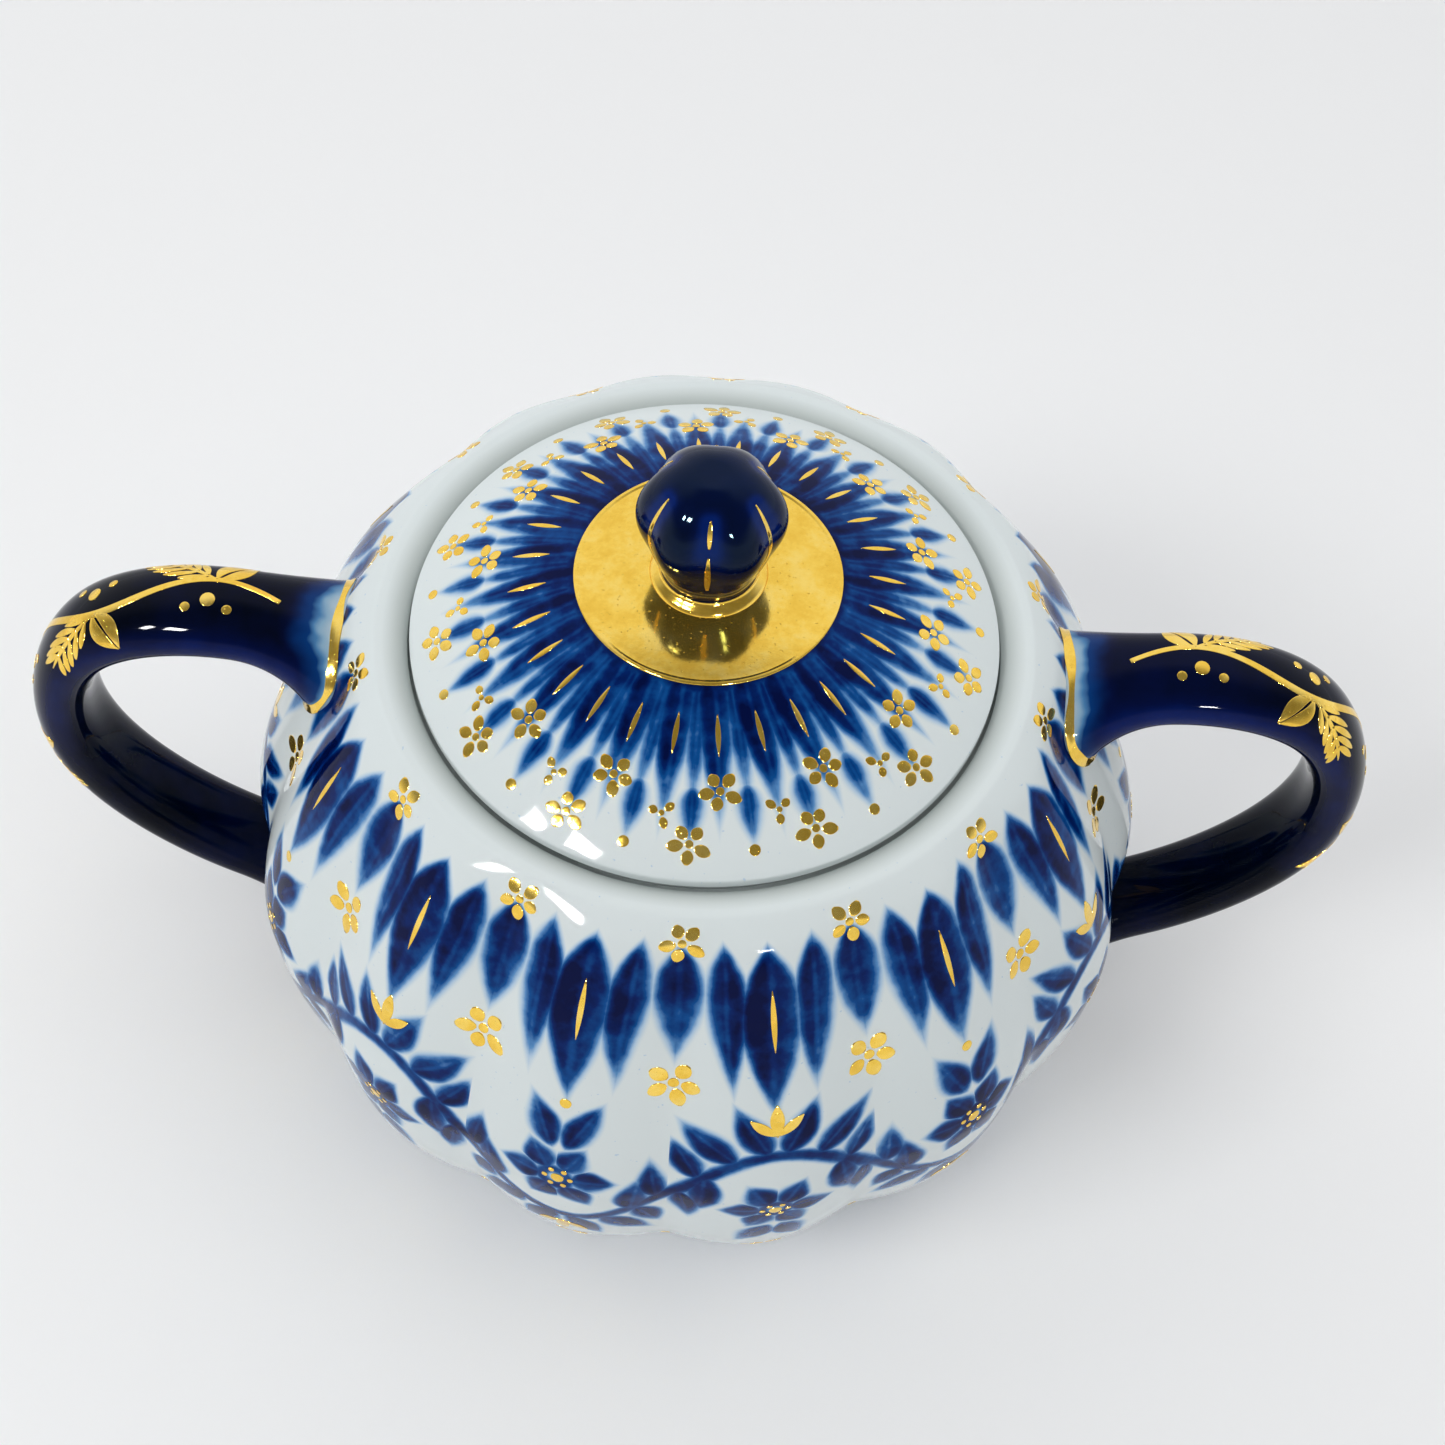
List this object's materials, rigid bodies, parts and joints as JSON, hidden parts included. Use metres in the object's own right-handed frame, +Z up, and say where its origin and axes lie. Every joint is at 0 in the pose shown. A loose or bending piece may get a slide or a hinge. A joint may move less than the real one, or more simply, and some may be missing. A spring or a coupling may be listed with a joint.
{
  "type": "covered sugar bowl",
  "caption": "Round lobed porcelain sugar bowl with ear handles and a domed inset lid that lifts off by a fluted bud knob; cobalt and gold on white.",
  "frame": {"origin": "centre of the foot ring, on the surface that the bowl stands on", "axes": "+Z up along the bowl's axis, +X along the line of the two handles"},
  "size_m": [0.1696, 0.114, 0.1045],
  "materials": {
    "white_porcelain": "clear gloss glaze over white porcelain, with cobalt underglaze and gold",
    "cobalt_porcelain": "deep cobalt under gloss glaze, with gold lines",
    "luting_slip": "fired clay slip"
  },
  "bodies": {
    "bowl": {"bowl_body": "white_porcelain", "left_handle": "cobalt_porcelain", "right_handle": "cobalt_porcelain", "left_handle_luting": "luting_slip", "right_handle_luting": "luting_slip"},
    "lid": {"lid": "white_porcelain", "knob": "cobalt_porcelain", "knob_luting": "luting_slip"}
  },
  "joints": [
    {"name": "lid_lift", "type": "slide", "parent": "bowl", "child": "lid", "axis": [0, 0, 1], "range_m": [0, 0.06]}
  ]
}
